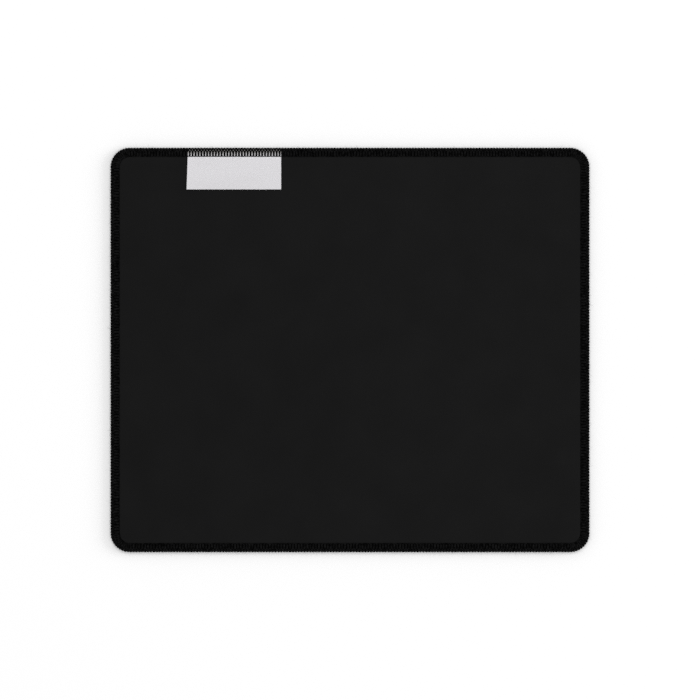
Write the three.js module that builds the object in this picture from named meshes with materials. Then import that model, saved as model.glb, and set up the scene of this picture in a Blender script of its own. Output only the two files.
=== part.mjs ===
// A stitched-edge mouse pad, lying face down as it is shown: printed cloth at the bottom,
// foam rubber on top, a three-thread overlock round the rim and a blank sewn-in label.
// Millimetres, +Z up, origin at the middle of the cloth face.
import * as THREE from 'three';

// Outline of the pad, over the outermost thread
const padWidth = 239;
const padDepth = 201.8;
const cornerRadius = 9.45;
const cornerSteps = 8; // facets in each rounded corner of the layers

// The three bonded layers, away from the rim
const clothThickness = 0.45;
const filmThickness = 0.1;
const rubberThickness = 3.45;

// The overlock: needle line, stitch length and thread sizes
const stitchBite = 4.1; // from the outer edge in to the ends of the looper legs
const stitchPitch = 1.447;
const legThickness = 0.35; // a pair of looper legs, as it stands on the pad
const legPairWidth = 0.75; // the same pair, across, where it hooks the needle thread
const needleThreadDiameter = 0.32;
const needleThreadSides = 6;
const seatClearance = 0.05; // between a thread or the label and what it lies on

// The rim, squeezed by the threads into a blunt nose
const grooveWall = 0.5; // width of the slope from the flat faces down to the needle groove
const rimCornerInset = 1.2; // where the squeezed faces turn into the nose
const rimDrop = 0.3; // how much lower that corner lies than the needle groove
const cutInset = 0.55; // from the outermost thread in to the die-cut edge of the layers
const cutHeight = 1.1; // the upright part of that edge
const crownInset = 0.4; // the highest line of thread on the nose
const crownRise = 0.15; // how far it stands over the rim corner

// The sewn-in label, on the rubber side at the +Y edge
const labelWidth = 46.7;
const labelThickness = 0.15;
const labelFromLeft = 38.4; // from the outer edge at -X to its left side
const labelHemInset = 1.3; // where its sewn-in end lies, from the outer edge
const labelReach = 20.7; // from the outer edge to its free end
const labelFlare = 0.5; // how far its left side leans out at the free end
const labelCurl = 0.45; // how far its free end stands up
const labelSteps = 8;
const foldGap = 0.3; // between the sewn part and the free part, at the fold
const foldHeight = 0.1; // the fold's axis, over the top of the label

const padThickness = clothThickness + filmThickness + rubberThickness;
const middle = padThickness / 2;
const grooveDepth = legThickness + 2 * seatClearance;
const grooveInset = stitchBite + needleThreadDiameter + 2 * seatClearance;
const flatInset = grooveInset + grooveWall;
const rimCornerDepth = grooveDepth + rimDrop;
const foldInset = flatInset + foldGap;
const labelLift = labelThickness + seatClearance; // threads over the label lie this much higher

const clothMaterial = new THREE.MeshStandardMaterial({ color: 0xe9e9e6, roughness: 0.85 });
const filmMaterial = new THREE.MeshStandardMaterial({ color: 0xcfc6a8, roughness: 0.5 });
const rubberMaterial = new THREE.MeshStandardMaterial({ color: 0x1a1a1a, roughness: 0.95 });
const threadMaterial = new THREE.MeshStandardMaterial({ color: 0x0b0b0b, roughness: 0.7 });
const labelMaterial = new THREE.MeshStandardMaterial({ color: 0xdad8db, roughness: 0.55 });

// The outline is a rectangle of corner centres, with every point pushed out along its normal.
// Distances round it are measured on the outer edge, clockwise from above, and start where
// the +Y side leaves its left corner.
const centreHalfWidth = padWidth / 2 - cornerRadius;
const centreHalfDepth = padDepth / 2 - cornerRadius;
const cornerLength = (Math.PI / 2) * cornerRadius;
const sides = [
  { x: -centreHalfWidth, y: centreHalfDepth, heading: 0, length: 2 * centreHalfWidth },
  { x: centreHalfWidth, y: centreHalfDepth, heading: -Math.PI / 2, length: 2 * centreHalfDepth },
  { x: centreHalfWidth, y: -centreHalfDepth, heading: Math.PI, length: 2 * centreHalfWidth },
  { x: -centreHalfWidth, y: -centreHalfDepth, heading: Math.PI / 2, length: 2 * centreHalfDepth },
];
const perimeter = 4 * cornerLength + 4 * (centreHalfWidth + centreHalfDepth);
const stitchCount = Math.round(perimeter / stitchPitch);
const stitchLength = perimeter / stitchCount;

// A place on the outline: the point to push out from, and the direction to push it in.
function placeAt(distance) {
  let left = ((distance % perimeter) + perimeter) % perimeter;
  for (const side of sides) {
    if (left <= side.length) {
      const alongX = side.x + Math.cos(side.heading) * left;
      const alongY = side.y + Math.sin(side.heading) * left;
      return { x: alongX, y: alongY, turn: side.heading + Math.PI / 2 };
    }
    left -= side.length;
    if (left < cornerLength) {
      const endX = side.x + Math.cos(side.heading) * side.length;
      const endY = side.y + Math.sin(side.heading) * side.length;
      return { x: endX, y: endY, turn: side.heading + Math.PI / 2 - left / cornerRadius };
    }
    left -= cornerLength;
  }
  return placeAt(0);
}

function pointAt(place, inset, height) {
  const reach = cornerRadius - inset;
  const x = place.x + Math.cos(place.turn) * reach;
  const y = place.y + Math.sin(place.turn) * reach;
  return new THREE.Vector3(x, y, height);
}

// The places of the corner facets: the sides between them are straight.
function cornerDistances() {
  const distances = [];
  let start = 0;
  for (const side of sides) {
    start += side.length;
    for (let step = 0; step <= cornerSteps; step += 1) {
      distances.push(start + (cornerLength * step) / cornerSteps);
    }
    start += cornerLength;
  }
  return distances;
}

// Depth of the stack's faces under the flat face, at an inset from the outer edge.
function bandDepth(inset) {
  const share = (grooveInset - inset) / (grooveInset - rimCornerInset);
  return grooveDepth + rimDrop * share;
}

// A mesh from points and triangles, turned the right way out.
function closedMesh(name, points, triangles, material) {
  let volume = 0;
  for (const [a, b, c] of triangles) {
    volume += points[a].dot(new THREE.Vector3().crossVectors(points[b], points[c]));
  }
  const index = triangles.flatMap(([a, b, c]) => (volume > 0 ? [a, b, c] : [a, c, b]));
  const geometry = new THREE.BufferGeometry();
  const positions = points.flatMap((point) => point.toArray());
  geometry.setAttribute('position', new THREE.Float32BufferAttribute(positions, 3));
  geometry.setIndex(index);
  geometry.computeVertexNormals();
  const mesh = new THREE.Mesh(geometry, material);
  mesh.name = name;
  return mesh;
}

// A section of [inset, height] points carried round the outline. A tube joins its last point
// to its first one, and a layer is capped by a flat face at each end of its section.
function carriedRound(name, section, distances, isTube, material, liftAt = () => 0) {
  const points = [];
  const triangles = [];
  const across = section.length;
  const places = distances.map(placeAt);
  places.forEach((place) => {
    for (const [inset, height] of section) {
      points.push(pointAt(place, inset, height + liftAt(place)));
    }
  });
  const spans = isTube ? across : across - 1;
  for (let here = 0; here < places.length; here += 1) {
    const next = (here + 1) % places.length;
    for (let step = 0; step < spans; step += 1) {
      const a = here * across + step;
      const b = here * across + ((step + 1) % across);
      const c = next * across + ((step + 1) % across);
      const d = next * across + step;
      triangles.push([a, b, c], [a, c, d]);
    }
  }
  if (!isTube) {
    const last = across - 1;
    for (let here = 1; here < places.length - 1; here += 1) {
      triangles.push([0, here * across, (here + 1) * across]);
      triangles.push([last, (here + 1) * across + last, here * across + last]);
    }
  }
  return closedMesh(name, points, triangles, material);
}

// The lower chamfer of the nose, from the cloth's rim corner up to the die-cut edge.
const chamferRise = middle - cutHeight / 2 - rimCornerDepth;
function chamferInset(rise) {
  return rimCornerInset - ((rimCornerInset - cutInset) * rise) / chamferRise;
}

// The outward half of a layer's face at one level of the stack, from the flat to the nose.
function levelLine(level) {
  return [
    [flatInset, level],
    [grooveInset, level + grooveDepth],
    [chamferInset(level), level + rimCornerDepth],
  ];
}

function makeLayers() {
  const distances = cornerDistances();
  const filmLevel = clothThickness;
  const rubberLevel = clothThickness + filmThickness;
  const clothSection = [...levelLine(0), ...levelLine(filmLevel).reverse()];
  const filmSection = [...levelLine(filmLevel), ...levelLine(rubberLevel).reverse()];
  const rubberSection = [
    ...levelLine(rubberLevel),
    [cutInset, middle - cutHeight / 2],
    [cutInset, middle + cutHeight / 2],
    [rimCornerInset, padThickness - rimCornerDepth],
    [grooveInset, padThickness - grooveDepth],
    [flatInset, padThickness],
  ];
  return [
    carriedRound('cloth_face', clothSection, distances, false, clothMaterial),
    carriedRound('bond_film', filmSection, distances, false, filmMaterial),
    carriedRound('rubber_base', rubberSection, distances, false, rubberMaterial),
  ];
}

// Threads that cross the label are lifted by it, from one stitch before to one stitch after.
const labelLeft = labelFromLeft - padWidth / 2;
const labelRight = labelLeft + labelWidth;
function liftOverLabel(place) {
  const onLabelSide = place.y === centreHalfDepth && Math.sin(place.turn) === 1;
  const nearLabel = place.x > labelLeft - 2 * stitchLength && place.x < labelRight + 2 * stitchLength;
  return onLabelSide && nearLabel ? labelLift : 0;
}

// One looper thread. Every stitch is a V of two legs that lie side by side at the needle line,
// part towards the edge and meet their neighbours there, where the two loopers interlock.
// The meeting legs close into one bead round the nose, with its crown between the stitches.
function makeLooper(name, facesUp) {
  const side = facesUp ? 1 : -1;
  const heightOf = (depth, lift) => middle + side * (middle - depth + lift);
  const liftOf = (place) => (facesUp ? liftOverLabel(place) : 0);
  const cornerDepth = rimCornerDepth - seatClearance;
  const crownDepth = cornerDepth - crownRise;
  const lockDepth = middle - seatClearance / 2;
  const hookDepth = bandDepth(stitchBite) - seatClearance;
  const ridgeDepth = hookDepth - legThickness;
  const points = [];
  const triangles = [];
  const perStitch = 6;
  for (let stitch = 0; stitch < stitchCount; stitch += 1) {
    const start = placeAt(stitch * stitchLength);
    const centreDistance = (stitch + 1 / 2) * stitchLength;
    const centre = placeAt(centreDistance);
    const hookLeft = placeAt(centreDistance - legPairWidth / 2);
    const hookRight = placeAt(centreDistance + legPairWidth / 2);
    points.push(pointAt(start, rimCornerInset, heightOf(cornerDepth, liftOf(start))));
    points.push(pointAt(start, 0, heightOf(lockDepth, 0)));
    points.push(pointAt(centre, crownInset, heightOf(crownDepth, liftOf(centre))));
    points.push(pointAt(hookLeft, stitchBite, heightOf(hookDepth, liftOf(hookLeft))));
    points.push(pointAt(hookRight, stitchBite, heightOf(hookDepth, liftOf(hookRight))));
    points.push(pointAt(centre, stitchBite, heightOf(ridgeDepth, liftOf(centre))));
    const here = stitch * perStitch;
    const next = ((stitch + 1) % stitchCount) * perStitch;
    const [corner, lock, crown, left, right, ridge] = [0, 1, 2, 3, 4, 5].map((k) => here + k);
    const [nextCorner, nextLock, nextCrown] = [0, 1, 2].map((k) => next + k);
    triangles.push([lock, crown, nextLock], [crown, nextCrown, nextLock]);
    triangles.push([nextCorner, nextCrown, crown]);
    triangles.push([corner, lock, nextLock], [corner, nextLock, nextCorner]);
    triangles.push([corner, nextCorner, right], [corner, right, left]);
    triangles.push([corner, left, ridge], [corner, ridge, crown]);
    triangles.push([crown, ridge, right], [crown, right, nextCorner]);
    triangles.push([left, right, ridge]);
  }
  return closedMesh(name, points, triangles, threadMaterial);
}

// The needle thread runs in its groove, over the ends of the looper legs.
function makeNeedleThread() {
  const radius = needleThreadDiameter / 2;
  const centreInset = stitchBite + seatClearance + radius;
  const centreHeight = padThickness - grooveDepth + seatClearance + radius;
  const section = [];
  for (let corner = 0; corner < needleThreadSides; corner += 1) {
    const angle = (2 * Math.PI * corner) / needleThreadSides;
    section.push([centreInset + radius * Math.cos(angle), centreHeight + radius * Math.sin(angle)]);
  }
  const labelStart = labelLeft + centreHalfWidth;
  const labelEnd = labelRight + centreHalfWidth;
  const rampDistances = [
    labelStart - 3 * stitchLength,
    labelStart - stitchLength,
    labelEnd + stitchLength,
    labelEnd + 3 * stitchLength,
  ];
  const distances = [...rampDistances, ...cornerDistances()];
  return carriedRound('needle_thread', section, distances, true, threadMaterial, liftOverLabel);
}

// The label is a strip carried along X, drawn as [inset, height] points of its underside.
function makeStrip(name, underside, flareAt = () => 0) {
  const sizeY = padDepth / 2;
  const outline = new THREE.Shape();
  const upper = underside.map(([inset, height]) => [inset, height + labelThickness]).reverse();
  [...underside, ...upper].forEach(([inset, height], corner) => {
    if (corner === 0) outline.moveTo(sizeY - inset, height);
    else outline.lineTo(sizeY - inset, height);
  });
  const geometry = new THREE.ExtrudeGeometry(outline, { depth: labelWidth, bevelEnabled: false });
  const [axisX, axisY, axisZ] = [0, 1, 2].map((k) => new THREE.Vector3().setComponent(k, 1));
  geometry.applyMatrix4(new THREE.Matrix4().makeBasis(axisY, axisZ, axisX));
  const positions = geometry.getAttribute('position');
  for (let k = 0; k < positions.count; k += 1) {
    const isLeftSide = positions.getX(k) < labelWidth / 2;
    const flare = isLeftSide ? flareAt(sizeY - positions.getY(k)) : 0;
    positions.setX(k, positions.getX(k) + labelLeft - flare);
  }
  const mesh = new THREE.Mesh(geometry, labelMaterial);
  mesh.name = name;
  return mesh;
}

function makeLabelHem() {
  const heightAt = (depth) => padThickness - depth + seatClearance;
  return makeStrip('sewn_label_hem', [
    [labelHemInset, heightAt(bandDepth(labelHemInset))],
    [grooveInset, heightAt(grooveDepth)],
    [flatInset, heightAt(0)],
    [foldInset - foldGap / 2, heightAt(0)],
  ]);
}

// The free flap is the moving part: it turns about an axis along X, over the fold.
function makeLabelFlap() {
  const start = foldInset + foldGap / 2;
  const freeLength = labelReach - start;
  const underside = [];
  for (let step = 0; step <= labelSteps; step += 1) {
    const share = step / labelSteps;
    const height = padThickness + seatClearance + labelCurl * share * share;
    underside.push([start + freeLength * share, height]);
  }
  const flareAt = (inset) => (labelFlare * (inset - start)) / freeLength;
  const mesh = makeStrip('sewn_label_flap', underside, flareAt);
  const axisX = labelLeft + labelWidth / 2;
  const axisY = padDepth / 2 - foldInset;
  const axisZ = padThickness + seatClearance + labelThickness + foldHeight;
  mesh.geometry.translate(-axisX, -axisY, -axisZ);
  const hinge = new THREE.Group();
  hinge.position.set(axisX, axisY, axisZ);
  hinge.add(mesh);
  return hinge;
}

const pad = new THREE.Group();
pad.name = 'mouse_pad';
pad.add(...makeLayers());
pad.add(makeLooper('lower_looper_thread', false));
pad.add(makeLooper('upper_looper_thread', true));
pad.add(makeNeedleThread());
pad.add(makeLabelHem());
pad.add(makeLabelFlap());

export default pad;
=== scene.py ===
import math
import random

import bpy
import numpy as np
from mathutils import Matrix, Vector


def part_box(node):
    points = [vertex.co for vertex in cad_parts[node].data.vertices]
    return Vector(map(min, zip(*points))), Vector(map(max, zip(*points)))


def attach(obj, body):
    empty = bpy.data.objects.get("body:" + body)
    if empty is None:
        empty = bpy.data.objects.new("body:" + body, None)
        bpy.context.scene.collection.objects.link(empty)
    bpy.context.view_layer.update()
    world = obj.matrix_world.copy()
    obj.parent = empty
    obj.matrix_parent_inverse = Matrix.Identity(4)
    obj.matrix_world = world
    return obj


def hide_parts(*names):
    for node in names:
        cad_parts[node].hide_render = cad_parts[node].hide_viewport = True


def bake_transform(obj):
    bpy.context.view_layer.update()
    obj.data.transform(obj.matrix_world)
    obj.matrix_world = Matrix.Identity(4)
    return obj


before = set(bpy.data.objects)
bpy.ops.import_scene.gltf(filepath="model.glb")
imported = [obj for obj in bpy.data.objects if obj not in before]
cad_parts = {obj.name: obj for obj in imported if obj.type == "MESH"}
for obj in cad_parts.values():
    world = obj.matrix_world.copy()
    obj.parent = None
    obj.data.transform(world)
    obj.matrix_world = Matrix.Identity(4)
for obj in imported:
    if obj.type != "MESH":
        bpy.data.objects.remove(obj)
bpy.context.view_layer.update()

mm = 0.001
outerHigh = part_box("upper_looper_thread")[1]
rubberLow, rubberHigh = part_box("rubber_base")
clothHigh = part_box("cloth_face")[1]
hemLow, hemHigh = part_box("sewn_label_hem")
flapLow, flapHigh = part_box("sewn_label_flap")

# The pad lies face down. Insets are measured inwards from the outermost thread.
pad = {
    "halfWidth": outerHigh.x,
    "halfDepth": outerHigh.y,
    "cornerRadius": 9.45 * mm,
    "cornerSegments": 20,
    "thickness": rubberHigh.z,
    "middle": rubberHigh.z / 2,
    "cutInset": 0.45 * mm,
    "cutHeight": 1.1 * mm,
    "rimInset": 1.2 * mm,
    "rimDepth": 0.75 * mm,
    "grooveInset": 4.36 * mm,
    "grooveDepth": 0.4 * mm,
    "shoulder": 0.3 * mm,
    "smoothAngle": math.radians(50),
}
straightX = pad["halfWidth"] - pad["cornerRadius"]
straightY = pad["halfDepth"] - pad["cornerRadius"]
print("frame loaded, pad", round(2 * outerHigh.x / mm, 1), "x", round(2 * outerHigh.y / mm, 1), "mm")


# helpers for working in object and edit mode
def deselectAll():
    if bpy.context.object and bpy.context.object.mode != "OBJECT":
        bpy.ops.object.mode_set(mode="OBJECT")
    bpy.ops.object.select_all(action="DESELECT")


def pickOut(obj):
    deselectAll()
    obj.select_set(True)
    bpy.context.view_layer.objects.active = obj


def applyAll(obj):
    pickOut(obj)
    for modifier in list(obj.modifiers):
        bpy.ops.object.modifier_apply(modifier=modifier.name)


def selectFaces(obj, wanted):
    # called in edit mode: picks out the faces that wanted says yes to
    bpy.ops.mesh.select_mode(type="FACE")
    bpy.ops.mesh.select_all(action="DESELECT")
    bpy.ops.object.mode_set(mode="OBJECT")
    for face in obj.data.polygons:
        face.select = wanted(face)
    bpy.ops.object.mode_set(mode="EDIT")


def stepIn(steps):
    # insets the selected face again and again: (how far in, how far out along its normal)
    for across, along in steps:
        bpy.ops.mesh.inset(thickness=across, depth=along, use_even_offset=True)


def smoothStep(value):
    t = np.clip(value, 0, 1)
    return t * t * (3 - 2 * t)


def bandDepth(inset):
    # how far the squeezed faces lie under the flat ones, from the groove out to the rim
    share = (pad["grooveInset"] - inset) / (pad["grooveInset"] - pad["rimInset"])
    return pad["grooveDepth"] + (pad["rimDepth"] - pad["grooveDepth"]) * share


def faceDepth(inset):
    # the same for the whole edge: the round nose, the band under the seam, the soft shoulder
    if inset < pad["rimInset"]:
        share = (pad["rimInset"] - inset) / (pad["rimInset"] - pad["cutInset"])
        cutDepth = (pad["thickness"] - pad["cutHeight"]) / 2
        return cutDepth - (cutDepth - pad["rimDepth"]) * math.sqrt(max(0.0, 1 - share * share))
    if inset < pad["grooveInset"]:
        return bandDepth(inset)
    return pad["grooveDepth"] * (1 - float(smoothStep((inset - pad["grooveInset"]) / pad["shoulder"])))


def profileSteps(points):
    # turns a list of (inset, depth under the flat face) into inset operator steps
    pairs = zip(points[:-1], points[1:])
    return [(b[0] - a[0], a[1] - b[1]) for a, b in pairs]


def shoulderProfile(count):
    # the soft curve from the groove up to the flat face
    insets = [pad["grooveInset"] + pad["shoulder"] * k / count for k in range(1, count + 1)]
    return [(inset, faceDepth(inset)) for inset in insets]


# shader groups that several materials share
def addNode(tree, kind, place, **values):
    node = tree.nodes.new(kind)
    node.location = place
    for key, value in values.items():
        setattr(node, key, value)
    return node


def makeGrainGroup():
    # fine two-scale grain: a height for bump and a mask for colour
    group = bpy.data.node_groups.new("fineGrain", "ShaderNodeTree")
    face = group.interface
    face.new_socket(name="Vector", in_out="INPUT", socket_type="NodeSocketVector")
    face.new_socket(name="Fine Scale", in_out="INPUT", socket_type="NodeSocketFloat")
    face.new_socket(name="Broad Scale", in_out="INPUT", socket_type="NodeSocketFloat")
    face.new_socket(name="Height", in_out="OUTPUT", socket_type="NodeSocketFloat")
    face.new_socket(name="Mask", in_out="OUTPUT", socket_type="NodeSocketFloat")
    start = addNode(group, "NodeGroupInput", (-600, 0))
    fine = addNode(group, "ShaderNodeTexNoise", (-350, 150))
    fine.inputs["Detail"].default_value = 3
    fine.inputs["Roughness"].default_value = 0.6
    broad = addNode(group, "ShaderNodeTexNoise", (-350, -150))
    broad.inputs["Detail"].default_value = 4
    # the mask is the broad noise with a share of the fine one
    mixed = addNode(group, "ShaderNodeMath", (-100, 0), operation="MULTIPLY_ADD")
    mixed.inputs[1].default_value = 0.35
    end = addNode(group, "NodeGroupOutput", (150, 0))
    link = group.links.new
    link(start.outputs["Vector"], fine.inputs["Vector"])
    link(start.outputs["Vector"], broad.inputs["Vector"])
    link(start.outputs["Fine Scale"], fine.inputs["Scale"])
    link(start.outputs["Broad Scale"], broad.inputs["Scale"])
    link(fine.outputs["Fac"], mixed.inputs[0])
    link(broad.outputs["Fac"], mixed.inputs[2])
    link(fine.outputs["Fac"], end.inputs["Height"])
    link(mixed.outputs[0], end.inputs["Mask"])
    return group


def makeOutlineGroup():
    # a mask that is 1 along the pad's rounded outline and fades out between two insets
    group = bpy.data.node_groups.new("nearOutline", "ShaderNodeTree")
    face = group.interface
    face.new_socket(name="Vector", in_out="INPUT", socket_type="NodeSocketVector")
    face.new_socket(name="Full Until", in_out="INPUT", socket_type="NodeSocketFloat")
    face.new_socket(name="None From", in_out="INPUT", socket_type="NodeSocketFloat")
    face.new_socket(name="Mask", in_out="OUTPUT", socket_type="NodeSocketFloat")
    start = addNode(group, "NodeGroupInput", (-900, 0))
    size = addNode(group, "ShaderNodeVectorMath", (-700, 0), operation="ABSOLUTE")
    beyond = addNode(group, "ShaderNodeVectorMath", (-500, 0), operation="SUBTRACT")
    # taking 1 m from z leaves it far below 0, so that only x and y count
    beyond.inputs[1].default_value = (straightX, straightY, 1)
    outside = addNode(group, "ShaderNodeVectorMath", (-300, 0), operation="MAXIMUM")
    reach = addNode(group, "ShaderNodeVectorMath", (-100, 0), operation="LENGTH")
    inset = addNode(group, "ShaderNodeMath", (100, 0), operation="SUBTRACT")
    inset.inputs[0].default_value = pad["cornerRadius"]
    mask = addNode(group, "ShaderNodeMapRange", (300, 0))
    mask.inputs["To Min"].default_value = 1
    mask.inputs["To Max"].default_value = 0
    end = addNode(group, "NodeGroupOutput", (500, 0))
    link = group.links.new
    link(start.outputs["Vector"], size.inputs[0])
    link(size.outputs["Vector"], beyond.inputs[0])
    link(beyond.outputs["Vector"], outside.inputs[0])
    link(outside.outputs["Vector"], reach.inputs[0])
    link(reach.outputs["Value"], inset.inputs[1])
    link(inset.outputs[0], mask.inputs["Value"])
    link(start.outputs["Full Until"], mask.inputs["From Min"])
    link(start.outputs["None From"], mask.inputs["From Max"])
    link(mask.outputs["Result"], end.inputs["Mask"])
    return group


grainGroup = makeGrainGroup()
outlineGroup = makeOutlineGroup()


def newMaterial(name, roughness, specular, sheen=0.0, sheenRoughness=0.5):
    material = bpy.data.materials.new(name)
    material.use_nodes = True
    shader = material.node_tree.nodes["Principled BSDF"]
    shader.inputs["Roughness"].default_value = roughness
    shader.inputs["Specular IOR Level"].default_value = specular
    shader.inputs["Sheen Weight"].default_value = sheen
    shader.inputs["Sheen Roughness"].default_value = sheenRoughness
    return material, shader


def colourBetween(tree, mask, dark, light, darkUntil=0.3, lightFrom=0.9):
    # a colour ramp from dark to light, driven by a mask
    ramp = addNode(tree, "ShaderNodeValToRGB", (-450, 200))
    ramp.color_ramp.elements[0].position = darkUntil
    ramp.color_ramp.elements[0].color = (*dark, 1)
    ramp.color_ramp.elements[1].position = lightFrom
    ramp.color_ramp.elements[1].color = (*light, 1)
    tree.links.new(mask, ramp.inputs["Fac"])
    return ramp.outputs["Color"]


def placeGrain(tree, fineScale, broadScale, stretch=(1, 1, 1), places=None):
    # grain on the object's own coordinates, or on the places that are given
    if places is None:
        places = addNode(tree, "ShaderNodeTexCoord", (-1100, 0)).outputs["Object"]
    mapping = addNode(tree, "ShaderNodeMapping", (-900, 0))
    mapping.inputs["Scale"].default_value = stretch
    grain = addNode(tree, "ShaderNodeGroup", (-700, 0), node_tree=grainGroup)
    grain.inputs["Fine Scale"].default_value = fineScale
    grain.inputs["Broad Scale"].default_value = broadScale
    tree.links.new(places, mapping.inputs["Vector"])
    tree.links.new(mapping.outputs["Vector"], grain.inputs["Vector"])
    return grain


def waveScale(pitch):
    # a wave texture at scale 1 repeats every pi / 10
    return math.pi / 10 / pitch


def bumpInto(tree, shader, height, strength, distance):
    bump = addNode(tree, "ShaderNodeBump", (-250, -300))
    bump.inputs["Strength"].default_value = strength
    bump.inputs["Distance"].default_value = distance
    tree.links.new(height, bump.inputs["Height"])
    tree.links.new(bump.outputs["Normal"], shader.inputs["Normal"])


def paintShadeUnderSeam(tree, shader, colour, tone, fullUntil, noneFrom):
    # gives the shader the colour, and painted shade near the outline, under the seam: a darker tone for the
    # threads' shade
    place = addNode(tree, "ShaderNodeTexCoord", (-900, 500))
    near = addNode(tree, "ShaderNodeGroup", (-600, 500), node_tree=outlineGroup)
    near.inputs["Full Until"].default_value = fullUntil
    near.inputs["None From"].default_value = noneFrom
    blend = addNode(tree, "ShaderNodeMix", (-100, 300), data_type="RGBA")
    blend.inputs["B"].default_value = (*tone, 1)
    tree.links.new(place.outputs["Object"], near.inputs["Vector"])
    tree.links.new(near.outputs["Mask"], blend.inputs["Factor"])
    tree.links.new(colour, blend.inputs["A"])
    tree.links.new(blend.outputs["Result"], shader.inputs["Base Color"])


# foam rubber base
rubber = {
    "dark": (0.0081, 0.0081, 0.0082),
    "light": (0.0100, 0.0100, 0.0101),
    # painted shade on the rubber under the seam's threads, and how far past the groove it fades out
    "paintedSeamShade": (0.0001, 0.0001, 0.0001),
    "paintedSeamShadeFade": 0.07 * mm,
    "roughness": 0.85,
    "specular": 0.02,
    "grainScale": 3600,
    "mottleScale": 45,
    "grainStrength": 0.5,
    "grainDepth": 0.05 * mm,
    # the band under the seam swells a little and stops short of the groove's inner side
    "swell": 0.08 * mm,
    "swellEnd": 0.3 * mm,
    # the first step down from the cut edge on the cloth's side
    "lowCornerInset": 0.72 * mm,
    "lowCornerDrop": 0.2 * mm,
}


def makeRubberMaterial():
    material, shader = newMaterial("foamRubber", rubber["roughness"], rubber["specular"])
    tree = material.node_tree
    grain = placeGrain(tree, rubber["grainScale"], rubber["mottleScale"])
    colour = colourBetween(tree, grain.outputs["Mask"], rubber["dark"], rubber["light"])
    inner = pad["grooveInset"]
    # painted shade: the rubber under the seam is made near black for the threads' shade
    paintShadeUnderSeam(tree, shader, colour, rubber["paintedSeamShade"], inner, inner + rubber["paintedSeamShadeFade"])
    bumpInto(tree, shader, grain.outputs["Height"], rubber["grainStrength"], rubber["grainDepth"])
    return material


def roundedBlock(name, inset, low, high):
    # a slab with the pad's outline, drawn in by the inset, and flat top and bottom faces
    deselectAll()
    bpy.ops.mesh.primitive_cube_add(size=2, location=(0, 0, (low + high) / 2))
    block = bpy.context.object
    block.name = name
    block.data.name = name
    block.scale = (pad["halfWidth"] - inset, pad["halfDepth"] - inset, (high - low) / 2)
    bpy.ops.object.transform_apply(location=True, rotation=True, scale=True)
    bpy.ops.object.mode_set(mode="EDIT")
    bpy.ops.mesh.select_mode(type="EDGE")
    bpy.ops.mesh.select_all(action="DESELECT")
    bpy.ops.object.mode_set(mode="OBJECT")
    for edge in block.data.edges:
        a, b = (block.data.vertices[k].co for k in edge.vertices)
        edge.select = abs(a.z - b.z) > (high - low) / 2
    bpy.ops.object.mode_set(mode="EDIT")
    radius = pad["cornerRadius"] - inset
    bpy.ops.mesh.bevel(offset=radius, segments=pad["cornerSegments"], affect="EDGES")
    return block


def makeRubberBase():
    cutLow = pad["middle"] - pad["cutHeight"] / 2
    cutHigh = pad["middle"] + pad["cutHeight"] / 2
    block = roundedBlock("foamRubberBase", pad["cutInset"], cutLow, cutHigh)
    # the top: a quarter round nose, a band that swells a little under the seam, the shoulder
    noseWidth = pad["rimInset"] - pad["cutInset"]
    insets = [pad["cutInset"] + noseWidth * (1 - math.cos(math.pi / 8 * k)) for k in range(5)]
    top = [(inset, faceDepth(inset)) for inset in insets]
    swellWidth = pad["grooveInset"] - rubber["swellEnd"] - pad["rimInset"]
    for share in (0.25, 0.5, 0.75, 1):
        inset = pad["rimInset"] + swellWidth * share
        swell = rubber["swell"] * math.sin(math.pi * share)
        top.append((inset, bandDepth(inset) - swell))
    top += [(pad["grooveInset"], pad["grooveDepth"])] + shoulderProfile(8)
    selectFaces(block, lambda face: face.normal.z > 0.9)
    stepIn(profileSteps(top))
    # the bottom, which the cloth hides
    cutDepth = cutLow - rubberLow.z
    bottom = [(pad["cutInset"], cutDepth), (rubber["lowCornerInset"], cutDepth - rubber["lowCornerDrop"])]
    bottom += [(pad["grooveInset"], pad["grooveDepth"]), (pad["grooveInset"] + pad["shoulder"], 0)]
    selectFaces(block, lambda face: face.normal.z < -0.9)
    stepIn(profileSteps(bottom))
    bpy.ops.object.mode_set(mode="OBJECT")
    bpy.ops.object.shade_smooth_by_angle(angle=pad["smoothAngle"])
    block.data.materials.append(makeRubberMaterial())
    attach(block, "pad")
    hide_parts("rubber_base")
    return block


rubberBase = makeRubberBase()
print("rubber base", len(rubberBase.data.polygons), "faces")

# cloth face, a thin knit, which lies on the floor here
cloth = {
    "thickness": 0.45 * mm,
    "dark": (0.70, 0.70, 0.69),
    "light": (0.82, 0.82, 0.80),
    # painted shade for the cut edge under the seam, fading out by the next inset
    "paintedSeamShade": (0.02, 0.02, 0.02),
    "seamShadeFadeInset": 2.4 * mm,
    "roughness": 0.9,
    "specular": 0.2,
    "sheen": 0.15,
    "grainScale": 2200,
    "mottleScale": 30,
    "ribTurn": math.radians(38),
    "ribPitch": 0.42 * mm,
    "ribStrength": 0.6,
    "ribDepth": 0.05 * mm,
    "ribShade": 0.5,
    # the band under the seam swells a little here too
    "bandInsets": (2.4 * mm, 3.6 * mm),
    "bandSwell": 0.04 * mm,
}


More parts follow.
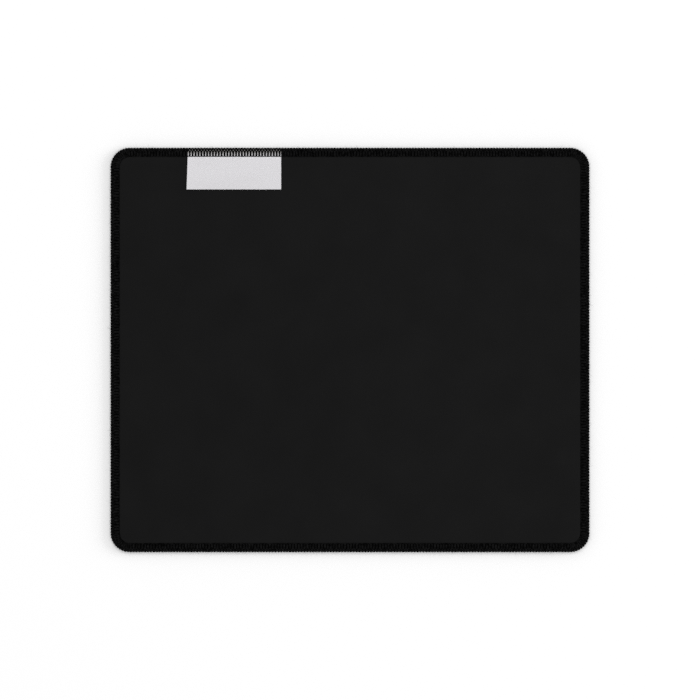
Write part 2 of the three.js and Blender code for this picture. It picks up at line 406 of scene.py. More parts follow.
def makeClothMaterial():
    material, shader = newMaterial("faceKnit", cloth["roughness"], cloth["specular"], sheen=cloth["sheen"])
    tree = material.node_tree
    grain = placeGrain(tree, cloth["grainScale"], cloth["mottleScale"])
    coordinates = addNode(tree, "ShaderNodeTexCoord", (-1100, -500))
    heights = []
    for turn, place in ((cloth["ribTurn"], -400), (-cloth["ribTurn"], -700)):
        # the two slanted legs of the knit loops
        mapping = addNode(tree, "ShaderNodeMapping", (-900, place))
        mapping.inputs["Rotation"].default_value = (0, 0, turn)
        wave = addNode(tree, "ShaderNodeTexWave", (-700, place), bands_direction="X")
        wave.inputs["Scale"].default_value = waveScale(cloth["ribPitch"])
        wave.inputs["Distortion"].default_value = 0.6
        wave.inputs["Detail Scale"].default_value = 2
        tree.links.new(coordinates.outputs["Object"], mapping.inputs["Vector"])
        tree.links.new(mapping.outputs["Vector"], wave.inputs["Vector"])
        heights.append(wave.outputs["Fac"])
    knit = addNode(tree, "ShaderNodeMath", (-480, -500), operation="MULTIPLY")
    tree.links.new(heights[0], knit.inputs[0])
    tree.links.new(heights[1], knit.inputs[1])
    shade = addNode(tree, "ShaderNodeMath", (-480, -200), operation="MULTIPLY_ADD")
    shade.inputs[1].default_value = cloth["ribShade"]
    tree.links.new(knit.outputs[0], shade.inputs[0])
    tree.links.new(grain.outputs["Mask"], shade.inputs[2])
    colour = colourBetween(tree, shade.outputs[0], cloth["dark"], cloth["light"])
    # painted shade: the cut edge, which shows between the smooth tubes here, is darkened for the threads'
    # shade and for the fluffy real thread that would hide it
    paintShadeUnderSeam(tree, shader, colour, cloth["paintedSeamShade"], pad["rimInset"], cloth["seamShadeFadeInset"])
    bumpInto(tree, shader, knit.outputs[0], cloth["ribStrength"], cloth["ribDepth"])
    return material


def makeClothFace():
    edgeInset = outerHigh.x - clothHigh.x
    deselectAll()
    bpy.ops.mesh.primitive_plane_add(size=2, location=(0, 0, clothHigh.z))
    sheet = bpy.context.object
    sheet.name = "clothFace"
    sheet.data.name = "clothFace"
    sheet.scale = (pad["halfWidth"] - edgeInset, pad["halfDepth"] - edgeInset, 1)
    bpy.ops.object.transform_apply(location=True, rotation=True, scale=True)
    bpy.ops.object.mode_set(mode="EDIT")
    bpy.ops.mesh.select_all(action="SELECT")
    radius = pad["cornerRadius"] - edgeInset
    bpy.ops.mesh.bevel(offset=radius, segments=pad["cornerSegments"], affect="VERTICES")
    bpy.ops.mesh.flip_normals()
    bpy.ops.mesh.select_all(action="SELECT")
    # from the cut edge round the nose, along under the threads and down to the flat face
    under = [(edgeInset, clothHigh.z), (pad["rimInset"], pad["rimDepth"])]
    under += [(inset, bandDepth(inset) - cloth["bandSwell"]) for inset in cloth["bandInsets"]]
    under += [(pad["grooveInset"], pad["grooveDepth"])] + shoulderProfile(6)
    stepIn(profileSteps(under))
    bpy.ops.object.mode_set(mode="OBJECT")
    pickOut(sheet)
    bpy.ops.object.modifier_add(type="SOLIDIFY")
    solidify = sheet.modifiers[-1]
    solidify.thickness = cloth["thickness"]
    solidify.offset = -1
    applyAll(sheet)
    bpy.ops.object.shade_smooth_by_angle(angle=pad["smoothAngle"])
    sheet.data.materials.append(makeClothMaterial())
    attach(sheet, "pad")
    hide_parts("cloth_face")
    return sheet


clothFace = makeClothFace()
print("cloth face", len(clothFace.data.polygons), "faces")

# bond film, which keeps its CAD shape
film = {
    "dark": (0.55, 0.50, 0.36),
    "light": (0.68, 0.62, 0.46),
    "roughness": 0.45,
    "specular": 0.4,
    "grainScale": 900,
    "mottleScale": 120,
}


def makeFilmMaterial():
    material, shader = newMaterial("bondFilm", film["roughness"], film["specular"])
    tree = material.node_tree
    grain = placeGrain(tree, film["grainScale"], film["mottleScale"])
    colour = colourBetween(tree, grain.outputs["Mask"], film["dark"], film["light"])
    # its edge gets the same painted shade as the cloth's cut edge
    paintShadeUnderSeam(tree, shader, colour, cloth["paintedSeamShade"], pad["rimInset"], cloth["seamShadeFadeInset"])
    return material


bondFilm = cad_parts["bond_film"]
bondFilm.data.materials.clear()
bondFilm.data.materials.append(makeFilmMaterial())
print("bond film, material only")

# the overlock: one stitch of each thread is modelled, then repeated and carried round the pad
overlock = {
    # stitches, and how far the first one is from the left end of the +Y side
    "pitch": 1.447 * mm,
    "start": 0.36 * mm,
    "needleInset": 4.27 * mm,
    "threadRadius": 0.22 * mm,
    "flatness": 0.7,
    "legSpread": 0.21 * mm,
    "needleRadius": 0.215 * mm,
    "sides": 5,
    "mergeWithin": 0.01 * mm,
    # two plies, one turn of twist every 0.6 mm
    "plies": 2,
    "twistLength": 0.6 * mm,
    "twistStrength": 0.7,
    "twistDepth": 0.03 * mm,
    "wander": 0.05 * mm,
    "wanderScale": 1.3 * mm,
    # the climb over the label: how high it is, over which lengths it grows along the edge,
    # inwards and upwards, and how far in from the edge it ends
    "labelRise": 0.2 * mm,
    "riseAlong": 0.6 * mm,
    "riseFrom": 0.3 * mm,
    "riseInwards": 0.7 * mm,
    "riseUpwards": 0.8 * mm,
    "riseWithin": 8 * mm,
    "dark": (0.0002, 0.0002, 0.0002),
    "light": (0.0095, 0.0095, 0.0097),
    "grainScale": 9000,
    "mottleScale": 900,
    "roughness": 0.65,
    "specular": 0.02,
}
cornerLength = math.pi / 2 * pad["cornerRadius"]
perimeter = 4 * (straightX + straightY) + 4 * cornerLength
stitchCount = round(perimeter / overlock["pitch"])
stitchLength = perimeter / stitchCount


def makeThreadMaterial():
    material, shader = newMaterial("spunThread", overlock["roughness"], overlock["specular"])
    tree = material.node_tree
    grain = placeGrain(tree, overlock["grainScale"], overlock["mottleScale"])
    colour = colourBetween(tree, grain.outputs["Mask"], overlock["dark"], overlock["light"], darkUntil=0.5)
    tree.links.new(colour, shader.inputs["Base Color"])
    uv = addNode(tree, "ShaderNodeUVMap", (-1100, -500), uv_map="threadTwist")
    split = addNode(tree, "ShaderNodeSeparateXYZ", (-900, -500))
    slant = addNode(tree, "ShaderNodeMath", (-700, -500), operation="ADD")
    turns = addNode(tree, "ShaderNodeMath", (-520, -500), operation="MULTIPLY")
    turns.inputs[1].default_value = 2 * math.pi
    plies = addNode(tree, "ShaderNodeMath", (-360, -500), operation="SINE")
    link = tree.links.new
    link(uv.outputs["UV"], split.inputs["Vector"])
    link(split.outputs["X"], slant.inputs[0])
    link(split.outputs["Y"], slant.inputs[1])
    link(slant.outputs[0], turns.inputs[0])
    link(turns.outputs[0], plies.inputs[0])
    bumpInto(tree, shader, plies.outputs[0], overlock["twistStrength"], overlock["twistDepth"])
    return material


threadMaterial = makeThreadMaterial()


def carryRound(along, inset):
    # places on the rounded outline, clockwise from above, from the left end of the +Y side:
    # returns the points and the forward and outward directions there
    along = np.mod(along, perimeter)
    points = np.zeros((len(along), 2))
    heading = np.zeros(len(along))
    start = 0.0
    corners = [(-straightX, straightY), (straightX, straightY)]
    corners += [(straightX, -straightY), (-straightX, -straightY)]
    lengths = [2 * straightX, 2 * straightY, 2 * straightX, 2 * straightY]
    for k in range(4):
        turn = -math.pi / 2 * k
        onSide = (along >= start) & (along < start + lengths[k])
        reach = along - start
        points[onSide, 0] = corners[k][0] + math.cos(turn) * reach[onSide]
        points[onSide, 1] = corners[k][1] + math.sin(turn) * reach[onSide]
        heading[onSide] = turn
        start += lengths[k]
        onCorner = (along >= start) & (along < start + cornerLength)
        points[onCorner] = corners[(k + 1) % 4]
        heading[onCorner] = turn - (along[onCorner] - start) / pad["cornerRadius"]
        start += cornerLength
    forward = np.column_stack([np.cos(heading), np.sin(heading)])
    outward = np.column_stack([-np.sin(heading), np.cos(heading)])
    points += outward * (pad["cornerRadius"] - inset)[:, None]
    return points, forward, outward


def stitchMesh(name, points, radius):
    # one stitch as an open tube: x along the edge, y outwards, z up. Each point is (along,
    # inset, height, how much the surface under it faces outwards, how much upwards, and how
    # many times the radius the thread is thick there)
    path = np.array(points, float)
    centres = path[:, :3] * [1, -1, 1]
    period = np.array([stitchLength, 0, 0])
    following = np.vstack([centres[1:], centres[1] + period])
    leading = np.vstack([centres[-2] - period, centres[:-1]])
    along = following - leading
    along /= np.linalg.norm(along, axis=1)[:, None]
    away = np.column_stack([np.zeros(len(path)), path[:, 3], path[:, 4]])
    away -= along * np.sum(away * along, axis=1)[:, None]
    away /= np.linalg.norm(away, axis=1)[:, None]
    across = np.cross(along, away)
    lengths = np.cumsum([0, *np.linalg.norm(np.diff(centres, axis=0), axis=1)])
    twists = round(lengths[-1] / overlock["twistLength"])
    sides = overlock["sides"]
    offsets = []
    for k in range(len(centres)):
        thick = radius * path[k, 5]
        for side in range(sides):
            angle = 2 * math.pi * side / sides
            rise = math.cos(angle) * overlock["flatness"]
            offsets.append(thick * (rise * away[k] + math.sin(angle) * across[k]))
    offsets = np.array(offsets)
    vertices = np.repeat(centres, sides, axis=0) + offsets
    faces = []
    uvs = []
    for k in range(len(centres) - 1):
        low, high = lengths[k:k + 2] / lengths[-1] * twists
        ring = k * sides
        nextRing = ring + sides
        for side in range(sides):
            other = (side + 1) % sides
            faces.append((ring + side, ring + other, nextRing + other, nextRing + side))
            left = overlock["plies"] * side / sides
            right = overlock["plies"] * (side + 1) / sides
            uvs += [(left, low), (right, low), (right, high), (left, high)]
    mesh = bpy.data.meshes.new(name)
    mesh.from_pydata(vertices.tolist(), [], faces)
    layer = mesh.uv_layers.new(name="threadTwist")
    layer.data.foreach_set("uv", np.array(uvs).ravel())
    offsetLayer = mesh.attributes.new("fromCentre", "FLOAT_VECTOR", "POINT")
    offsetLayer.data.foreach_set("vector", offsets.ravel())
    mesh.update()
    stitch = bpy.data.objects.new(name, mesh)
    bpy.context.collection.objects.link(stitch)
    return stitch


def readPlaces(mesh):
    places = np.zeros(len(mesh.vertices) * 3)
    mesh.vertices.foreach_get("co", places)
    return places.reshape(-1, 3)


def carryThread(stitch):
    # lays the straight row of stitches round the outline and keeps the thread's thickness
    mesh = stitch.data
    places = readPlaces(mesh)
    offsets = np.zeros(len(mesh.vertices) * 3)
    mesh.attributes["fromCentre"].data.foreach_get("vector", offsets)
    offsets = offsets.reshape(-1, 3)
    centres = places - offsets
    points, forward, outward = carryRound(centres[:, 0] + overlock["start"], -centres[:, 1])
    places[:, :2] = points + forward * offsets[:, :1] + outward * offsets[:, 1:2]
    mesh.vertices.foreach_set("co", places.ravel())
    mesh.attributes.remove(mesh.attributes["fromCentre"])
    mesh.update()


def liftOverLabel(stitch):
    # threads on the rubber side climb over the label that is caught under them
    mesh = stitch.data
    places = readPlaces(mesh)
    inside = np.minimum(places[:, 0] - hemLow.x, hemHigh.x - places[:, 0])
    sideways = smoothStep(inside / overlock["riseAlong"] + 1)
    inset = pad["halfDepth"] - places[:, 1]
    inwards = smoothStep((inset - overlock["riseFrom"]) / overlock["riseInwards"])
    inwards *= inset < overlock["riseWithin"]
    above = smoothStep((places[:, 2] - pad["middle"]) / overlock["riseUpwards"])
    places[:, 2] += overlock["labelRise"] * sideways * inwards * above
    mesh.vertices.foreach_set("co", places.ravel())
    mesh.update()


def sewRound(stitch, nodeName):
    # repeats the stitch, carries the row round the outline and lets the thread wander a little
    pickOut(stitch)
    bpy.ops.object.modifier_add(type="ARRAY")
    row = stitch.modifiers[-1]
    row.count = stitchCount
    row.use_relative_offset = False
    row.use_constant_offset = True
    row.constant_offset_displace = (stitchLength, 0, 0)
    applyAll(stitch)
    carryThread(stitch)
    bpy.ops.object.modifier_add(type="DISPLACE")
    wander = stitch.modifiers[-1]
    wander.texture = bpy.data.textures.get("threadWander") or bpy.data.textures.new("threadWander", "CLOUDS")
    wander.texture.noise_scale = overlock["wanderScale"]
    wander.texture.cloud_type = "COLOR"
    wander.direction = "RGB_TO_XYZ"
    wander.strength = overlock["wander"]
    wander.mid_level = 0.5
    applyAll(stitch)
    bpy.ops.object.mode_set(mode="EDIT")
    bpy.ops.mesh.select_all(action="SELECT")
    bpy.ops.mesh.remove_doubles(threshold=overlock["mergeWithin"])
    bpy.ops.mesh.normals_make_consistent(inside=False)
    bpy.ops.object.mode_set(mode="OBJECT")
    bpy.ops.object.shade_smooth()
    liftOverLabel(stitch)
    stitch.data.materials.append(threadMaterial)
    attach(stitch, "pad")
    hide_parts(nodeName)
    print(stitch.name, len(stitch.data.polygons), "faces")


def seamTop(inset, sink=0.0):
    # height of a thread's middle where it lies on the rubber side of the rim
    return pad["thickness"] - bandDepth(inset) + overlock["threadRadius"] * overlock["flatness"] - sink


def mirrored(points, crossings=()):
    # adds the second half of a stitch, the mirror of the first one. At each crossing
    # (which point, in which direction, how far) the two halves pass on either side
    whole = [list(point) for point in points]
    whole += [[stitchLength - point[0], *point[1:]] for point in reversed(points[:-1])]
    for place, axis, shift in crossings:
        whole[place][axis] += shift
        whole[-1 - place][axis] -= shift
    return whole


def looperPoints(side):
    # side is 1 for the thread on the rubber and -1 for the one on the cloth. From the lock
    # in the middle of the edge it goes up the nose, crosses its neighbour between the
    # stitches, runs along the rim to its hook round the needle thread, and comes back
    half = stitchLength / 2
    leg = half - overlock["legSpread"]
    nose = pad["cutInset"] - overlock["threadRadius"] * 1.1

    def level(height):
        return pad["middle"] + side * (height - pad["middle"])

    points = [
        (0, nose + 0.09 * mm, level(1.78 * mm), 1, 0, 1),
        (-0.28 * mm, nose + 0.05 * mm, level(1.98 * mm), 1, 0, 1.1),
        (-0.6 * mm, nose - 0.14 * mm, level(2.75 * mm), 1, 0.3 * side, 1.5),
        (-0.5 * mm, 0.38 * mm, level(seamTop(1.2 * mm) - 0.02 * mm), 0.6, side, 1.9),
        (0, 1.12 * mm, level(seamTop(1.2 * mm) + 0.1 * mm), 0, side, 1.95),
        (leg, 1.62 * mm, level(seamTop(1.62 * mm)), 0, side, 1.45),
        (leg, 3.9 * mm, level(seamTop(3.9 * mm)), 0, side, 1.35),
        (half, 4.25 * mm, level(seamTop(4.25 * mm, 0.08 * mm)), 0, side, 0.8),
    ]
    crossings = [(1, 1, -0.08 * mm * side), (4, 2, 0.14 * mm)]
    return mirrored(points, crossings)


def needlePoints():
    # the line that shows on the rubber, down through the stack, and a small loop on the cloth
    inset = overlock["needleInset"]
    radius = overlock["needleRadius"]
    hole = stitchLength / 2
    top = pad["thickness"] - bandDepth(inset) + radius
    low = bandDepth(inset) - radius
    points = [
        (0, inset, top + 0.04 * mm, 0, 1, 1),
        (hole - 0.32 * mm, inset, top + 0.14 * mm, 0, 1, 1.05),
        (hole - 0.11 * mm, inset + 0.02 * mm, top - 0.03 * mm, -0.6, 0.8, 1.15),
        (hole - 0.10 * mm, inset, low + 0.35 * mm, -1, 0, 0.9),
        (hole, inset - 0.3 * mm, low - 0.12 * mm, -0.5, -1, 0.9),
    ]
    return mirrored(points)


upperThread = stitchMesh("upperLooperThread", looperPoints(1), overlock["threadRadius"])
sewRound(upperThread, "upper_looper_thread")
lowerThread = stitchMesh("lowerLooperThread", looperPoints(-1), overlock["threadRadius"])
sewRound(lowerThread, "lower_looper_thread")
needleThread = stitchMesh("needleThread", needlePoints(), overlock["needleRadius"])
sewRound(needleThread, "needle_thread")

# loose fibres that stand off the spun thread round the edge
fuzz = {
    "count": 1500,
    "seed": 7,
    "long": 2.2 * mm,
    "short": 0.35 * mm,
    "radius": 0.016 * mm,
    "curl": 0.6,
    "taper": 0.7,
    "steps": 4,
    # most are short, the more so the higher this power
    "shortness": 4,
    # one in so many is a stray, thicker and of any length
    "strayEvery": 12,
    "strayRadius": 0.035 * mm,
    # the others stand partly on the face of the seam and partly, as the strays do, on its edge
    "faceShare": 0.35,
    "faceInsets": (0.6 * mm, 4.6 * mm),
    "faceRise": 0.25 * mm,
    "faceUp": (0.2, 0.8),
    "edgeInset": 0.12 * mm,
    "edgeHeights": (1.0 * mm, 3.3 * mm),
    "edgeSpread": 0.9,
    "edgeUp": (-0.1, 0.7),
    "curlUp": (-0.6, 0.6),
    "dark": (0.004, 0.004, 0.004),
    "light": (0.012, 0.012, 0.012),
    "roughness": 0.6,
    "specular": 0.3,
    "grainScale": 5000,
    "mottleScale": 300,
}


def edgePlace(distance, inset):
    # one point at that inset from the outline, and the outward direction there
    carried = carryRound(np.array([distance]), np.array([inset]))
    return Vector(carried[0][0]), Vector(carried[2][0])


def fibreMesh():
    # each fibre is a thin curled tube with three sides
    draw = random.Random(fuzz["seed"])
    vertices = []
    faces = []
    for number in range(fuzz["count"]):
        stray = number % fuzz["strayEvery"] == 0
        onFace = draw.random() < fuzz["faceShare"] and not stray
        inset = draw.uniform(*fuzz["faceInsets"]) if onFace else fuzz["edgeInset"]
        root, outward = edgePlace(draw.uniform(0, perimeter), inset)
        if onFace:
            start = Vector((root.x, root.y, pad["thickness"] - pad["grooveDepth"] + fuzz["faceRise"]))
            direction = Vector((draw.uniform(-1, 1), draw.uniform(-1, 1), draw.uniform(*fuzz["faceUp"])))
        else:
            start = Vector((root.x, root.y, draw.uniform(*fuzz["edgeHeights"])))
            spread = fuzz["edgeSpread"]
            flat = outward + Vector((-outward.y, outward.x)) * draw.uniform(-spread, spread)
            direction = Vector((flat.x, flat.y, draw.uniform(*fuzz["edgeUp"])))
        direction.normalize()
        reach = draw.random() if stray else draw.random() ** fuzz["shortness"]
        length = fuzz["short"] + (fuzz["long"] - fuzz["short"]) * reach
        radius = fuzz["strayRadius"] if stray else fuzz["radius"]
        curl = Vector((draw.uniform(-1, 1), draw.uniform(-1, 1), draw.uniform(*fuzz["curlUp"])))
        curl *= fuzz["curl"]
        side = direction.orthogonal().normalized()
        other = direction.cross(side)
        first = len(vertices)
        steps = fuzz["steps"]
        for k in range(steps + 1):
            share = k / steps
            centre = start + (direction + curl * share) * length * share
            thin = radius * (1 - fuzz["taper"] * share)
            for corner in range(3):
                angle = 2 * math.pi * corner / 3
                vertices.append(centre + (side * math.cos(angle) + other * math.sin(angle)) * thin)
        for k in range(steps):
            for corner in range(3):
                a = first + 3 * k + corner
                b = first + 3 * k + (corner + 1) % 3
                faces.append((a, b, b + 3, a + 3))
        faces.append((first + 2, first + 1, first))
        tip = first + 3 * steps
        faces.append((tip, tip + 1, tip + 2))
    mesh = bpy.data.meshes.new("looseFibres")
    mesh.from_pydata(vertices, [], faces)
    return mesh


def makeFuzz():
    fibres = bpy.data.objects.new("looseFibres", fibreMesh())
    bpy.context.collection.objects.link(fibres)
    pickOut(fibres)
    bpy.ops.object.shade_smooth()
    material, shader = newMaterial("looseFibre", fuzz["roughness"], fuzz["specular"])
    tree = material.node_tree
    grain = placeGrain(tree, fuzz["grainScale"], fuzz["mottleScale"])
    colour = colourBetween(tree, grain.outputs["Mask"], fuzz["dark"], fuzz["light"])
    tree.links.new(colour, shader.inputs["Base Color"])
    fibres.data.materials.append(material)
    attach(fibres, "pad")
    print("loose fibres", len(fibres.data.polygons), "faces")


makeFuzz()

# the sewn-in label: one strip of satin, caught under the threads at one end
label = {
    "columns": 50,
    "rows": 120,
    "thickness": 0.15 * mm,
    "clearance": 0.05 * mm,
    "caughtInset": 0.9 * mm,
    # how it comes out of the groove behind the needle thread
    "riseBefore": 0.1 * mm,
    "riseLag": 0.16 * mm,
    "riseGain": 0.8,
    # the free part: its end curls up, most at the left, and its left side leans out
    "freeBehind": 0.15 * mm,
    "curl": 0.45 * mm,
    "leftLift": 0.35 * mm,
    "ripple": 0.05 * mm,
    "rippleTurn": 7.0,
    "rippleStart": 0.6,
    "flare": 0.5 * mm,
    # how much of the strip bends when it is lifted
    "foldLength": 2.4 * mm,
    "dark": (0.595, 0.585, 0.60),
    "light": (0.67, 0.66, 0.68),
    # tones over the caught end, from the first inset below (0) to the second (1), which the satin is
    # multiplied by: partly the thin strip letting the black rubber show through, partly painted shade where
    # the threads shade it
    "thinEndShadeFrom": 1.2 * mm,
    "thinEndShadeUntil": 3.3 * mm,
    "thinEndAndShadeTones": [
        (0, (0.46, 0.45, 0.42)),
        (0.22, (0.22, 0.21, 0.19)),
        (0.5, (0.48, 0.47, 0.44)),
        (0.75, (0.85, 0.84, 0.82)),
    ],
    "roughness": 0.5,
    "specular": 0.35,
    "sheen": 0.1,
    "grainScale": 2500,
    "mottleScale": 70,
    "grainStretch": (0.25, 1, 1),
    "threadPitch": 0.14 * mm,
    "threadStrength": 0.4,
    "threadDepth": 0.02 * mm,
    "threadShade": 0.25,
    "smoothAngle": math.radians(40),
}


def makeLabelMaterial():
    material, shader = newMaterial("labelSatin", label["roughness"], label["specular"], sheen=label["sheen"])
    tree = material.node_tree
    # places on the strip itself, which stay with it when it is lifted
    places = addNode(tree, "ShaderNodeUVMap", (-1300, 0), uv_map="labelPlace").outputs["UV"]
    grain = placeGrain(tree, label["grainScale"], label["mottleScale"], label["grainStretch"], places)
    wave = addNode(tree, "ShaderNodeTexWave", (-800, -500), bands_direction="Y")
    wave.inputs["Scale"].default_value = waveScale(label["threadPitch"])
    wave.inputs["Distortion"].default_value = 0.5
    wave.inputs["Detail Scale"].default_value = 3
    tree.links.new(places, wave.inputs["Vector"])
    shade = addNode(tree, "ShaderNodeMath", (-550, -200), operation="MULTIPLY_ADD")
    shade.inputs[1].default_value = label["threadShade"]
    tree.links.new(wave.outputs["Fac"], shade.inputs[0])
    tree.links.new(grain.outputs["Mask"], shade.inputs[2])
    colour = colourBetween(tree, shade.outputs[0], label["dark"], label["light"])
    # the thin caught end lets the black rubber show through, and painted shade darkens it where the threads
    # shade it
    split = addNode(tree, "ShaderNodeSeparateXYZ", (-800, 400))
    end = addNode(tree, "ShaderNodeMapRange", (-600, 400))
    end.inputs["From Min"].default_value = label["thinEndShadeFrom"]
    end.inputs["From Max"].default_value = label["thinEndShadeUntil"]
    shades = addNode(tree, "ShaderNodeValToRGB", (-400, 400))
    stops = shades.color_ramp.elements
    stops[0].color = (*label["thinEndAndShadeTones"][0][1], 1)
    stops[1].color = (1, 1, 1, 1)
    for place, tone in label["thinEndAndShadeTones"][1:]:
        stops.new(place).color = (*tone, 1)
    blend = addNode(tree, "ShaderNodeMix", (-50, 300), data_type="RGBA", blend_type="MULTIPLY")
    blend.inputs["Factor"].default_value = 1
    tree.links.new(places, split.inputs["Vector"])
    tree.links.new(split.outputs["Y"], end.inputs["Value"])
    tree.links.new(end.outputs["Result"], shades.inputs["Fac"])
    tree.links.new(shades.outputs["Color"], blend.inputs["A"])
    tree.links.new(colour, blend.inputs["B"])
    tree.links.new(blend.outputs["Result"], shader.inputs["Base Color"])
    bumpInto(tree, shader, wave.outputs["Fac"], label["threadStrength"], label["threadDepth"])
    return material


def layLabel(strip, width, freeEnd):
    # follows the squeezed edge under the threads, comes out behind them and lies on the rubber
    fold = pad["halfDepth"] - flapHigh.y - label["freeBehind"]
    for vertex in strip.data.vertices:
        inset = pad["halfDepth"] - vertex.co.y
        fromRight = (hemHigh.x - vertex.co.x) / width
        free = max(0.0, (inset - fold) / (freeEnd - fold))
        vertex.co.x -= label["flare"] * free * fromRight ** 3
        curl = label["curl"] * free ** 2 + label["leftLift"] * free ** 2 * fromRight ** 4
        ripple = label["ripple"] * free * math.sin(fromRight * label["rippleTurn"] + label["rippleStart"])
        risen = label["riseGain"] * max(0.0, inset - overlock["needleInset"] + label["riseBefore"])
        dip = faceDepth(inset - label["riseLag"] + risen)
        vertex.co.z = pad["thickness"] + label["clearance"] - dip + curl + ripple


def makeLabel():
    hemEnd = label["caughtInset"]
    freeEnd = pad["halfDepth"] - flapLow.y
    width = hemHigh.x - hemLow.x
    deselectAll()
    centre = ((hemLow.x + hemHigh.x) / 2, pad["halfDepth"] - (hemEnd + freeEnd) / 2, 0)
    columns = label["columns"]
    rows = label["rows"]
    bpy.ops.mesh.primitive_grid_add(x_subdivisions=columns, y_subdivisions=rows, size=1, location=centre)
    strip = bpy.context.object
    strip.name = "sewnLabel"
    strip.data.name = "sewnLabel"
    strip.scale = (width, freeEnd - hemEnd, 1)
    bpy.ops.object.transform_apply(location=True, rotation=True, scale=True)
    # each corner's place on the flat strip: x, and how far in from the edge it is
    places = strip.data.uv_layers[0]
    places.name = "labelPlace"
    for corner in strip.data.loops:
        spot = strip.data.vertices[corner.vertex_index].co
        places.data[corner.index].uv = (spot.x, pad["halfDepth"] - spot.y)
    layLabel(strip, width, freeEnd)
    bpy.ops.object.modifier_add(type="SOLIDIFY")
    solidify = strip.modifiers[-1]
    solidify.thickness = label["thickness"]
    solidify.offset = 1
    applyAll(strip)
    bpy.ops.object.shade_smooth_by_angle(angle=label["smoothAngle"])
    strip.data.materials.append(makeLabelMaterial())
    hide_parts("sewn_label_hem", "sewn_label_flap")
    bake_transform(strip)
    print("label", len(strip.data.polygons), "faces")


makeLabel()

# studio: a white floor, a soft sky and two soft lamps
studio = {
    "pixelsPerMm": 2.0023,
    "framePixels": 700,
    "cameraHeight": 0.6,
    "clipStart": 0.01,
    "floorTone": 0.94,
    "floorGlow": 0.065,
    "floorSize": 30,
    "floorDrop": 0.02 * mm,
    "fadeFrom": 0.4,
    "fadeTo": 2.5,
    "sky": 0.445,
}
overheadLamp = {
    "place": (0, 0.75, 6.0),
    "size": (3.6, 5.1),
    "watts": 187,
    "aim": (0, 0, -1),
}
sideLamp = {
    "place": (6.0, 0.9, 3.45),
    "size": (3.9, 3.9),
    "watts": 140,
    "aim": (-1, -0.15, -0.2),
}


def makeFloor():
    # the floor's glow shows to the camera but lights nothing, and it grows with the distance
    # until the floor is as white as the sky
    deselectAll()
    bpy.ops.mesh.primitive_plane_add(size=studio["floorSize"], location=(0, 0, -studio["floorDrop"]))
    floor = bpy.context.object
    floor.name = "studioFloor"
    material = bpy.data.materials.new("studioFloor")
    material.use_nodes = True
    tree = material.node_tree
    tree.nodes.clear()
    diffuse = addNode(tree, "ShaderNodeBsdfDiffuse", (0, 100))
    diffuse.inputs["Color"].default_value = (studio["floorTone"],) * 3 + (1,)
    glow = addNode(tree, "ShaderNodeEmission", (0, -100))
    place = addNode(tree, "ShaderNodeTexCoord", (-800, -350))
    distance = addNode(tree, "ShaderNodeVectorMath", (-600, -350), operation="LENGTH")
    fade = addNode(tree, "ShaderNodeMapRange", (-400, -350))
    fade.inputs["From Min"].default_value = studio["fadeFrom"]
    fade.inputs["From Max"].default_value = studio["fadeTo"]
    fade.inputs["To Min"].default_value = studio["floorGlow"]
    rays = addNode(tree, "ShaderNodeLightPath", (-600, -100))
    seen = addNode(tree, "ShaderNodeMath", (-400, -100), operation="MAXIMUM")
    clear = addNode(tree, "ShaderNodeMath", (-250, -100), operation="MAXIMUM")
    share = addNode(tree, "ShaderNodeMath", (-100, -100), operation="MULTIPLY")
    both = addNode(tree, "ShaderNodeAddShader", (200, 0))
    out = addNode(tree, "ShaderNodeOutputMaterial", (400, 0))
    link = tree.links.new
    link(rays.outputs["Is Camera Ray"], seen.inputs[0])
    link(rays.outputs["Is Glossy Ray"], seen.inputs[1])
    link(seen.outputs[0], clear.inputs[0])
    link(rays.outputs["Is Transmission Ray"], clear.inputs[1])
    link(place.outputs["Object"], distance.inputs[0])
    link(distance.outputs["Value"], fade.inputs["Value"])
    link(clear.outputs[0], share.inputs[0])
    link(fade.outputs["Result"], share.inputs[1])
    link(share.outputs[0], glow.inputs["Strength"])
    link(diffuse.outputs[0], both.inputs[0])
    link(glow.outputs[0], both.inputs[1])
    link(both.outputs[0], out.inputs["Surface"])
    floor.data.materials.append(material)


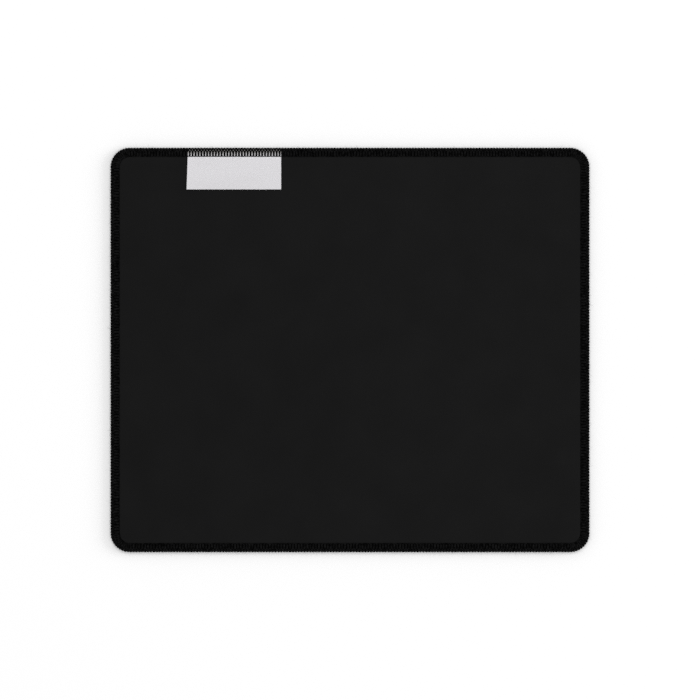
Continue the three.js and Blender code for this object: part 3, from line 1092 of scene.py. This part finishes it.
def makeSky():
    # the sky looks white but gives less light than that
    world = bpy.data.worlds.new("studioSky")
    bpy.context.scene.world = world
    world.use_nodes = True
    tree = world.node_tree
    tree.nodes.clear()
    rays = addNode(tree, "ShaderNodeLightPath", (-600, 0))
    seen = addNode(tree, "ShaderNodeMath", (-400, 0), operation="MAXIMUM")
    clear = addNode(tree, "ShaderNodeMath", (-250, 0), operation="MAXIMUM")
    strength = addNode(tree, "ShaderNodeMapRange", (-50, 0))
    strength.inputs["To Min"].default_value = studio["sky"]
    strength.inputs["To Max"].default_value = 1
    back = addNode(tree, "ShaderNodeBackground", (150, 0))
    back.inputs["Color"].default_value = (1, 1, 1, 1)
    out = addNode(tree, "ShaderNodeOutputWorld", (350, 0))
    link = tree.links.new
    link(rays.outputs["Is Camera Ray"], seen.inputs[0])
    link(rays.outputs["Is Glossy Ray"], seen.inputs[1])
    link(seen.outputs[0], clear.inputs[0])
    link(rays.outputs["Is Transmission Ray"], clear.inputs[1])
    link(clear.outputs[0], strength.inputs["Value"])
    link(strength.outputs["Result"], back.inputs["Strength"])
    link(back.outputs[0], out.inputs["Surface"])


def addLamp(name, place, size, watts, aim):
    deselectAll()
    bpy.ops.object.light_add(type="AREA", location=place)
    lamp = bpy.context.object
    lamp.name = name
    lamp.data.shape = "RECTANGLE"
    lamp.data.size, lamp.data.size_y = size
    lamp.data.energy = watts
    lamp.rotation_euler = Vector(aim).to_track_quat("-Z", "Y").to_euler()


def makeCamera():
    deselectAll()
    bpy.ops.object.camera_add(location=(0, 0, studio["cameraHeight"]), rotation=(0, 0, 0))
    camera = bpy.context.object
    camera.data.type = "ORTHO"
    camera.data.ortho_scale = studio["framePixels"] / studio["pixelsPerMm"] * mm
    camera.data.clip_start = studio["clipStart"]
    bpy.context.scene.camera = camera


makeFloor()
makeSky()
addLamp("overheadLamp", **overheadLamp)
addLamp("sideLamp", **sideLamp)
makeCamera()
bpy.context.scene.view_settings.view_transform = "Standard"
# the light is soft enough to do without the denoiser, which would smooth the stitches away
bpy.context.scene.cycles.use_denoising = False
print("studio ready")
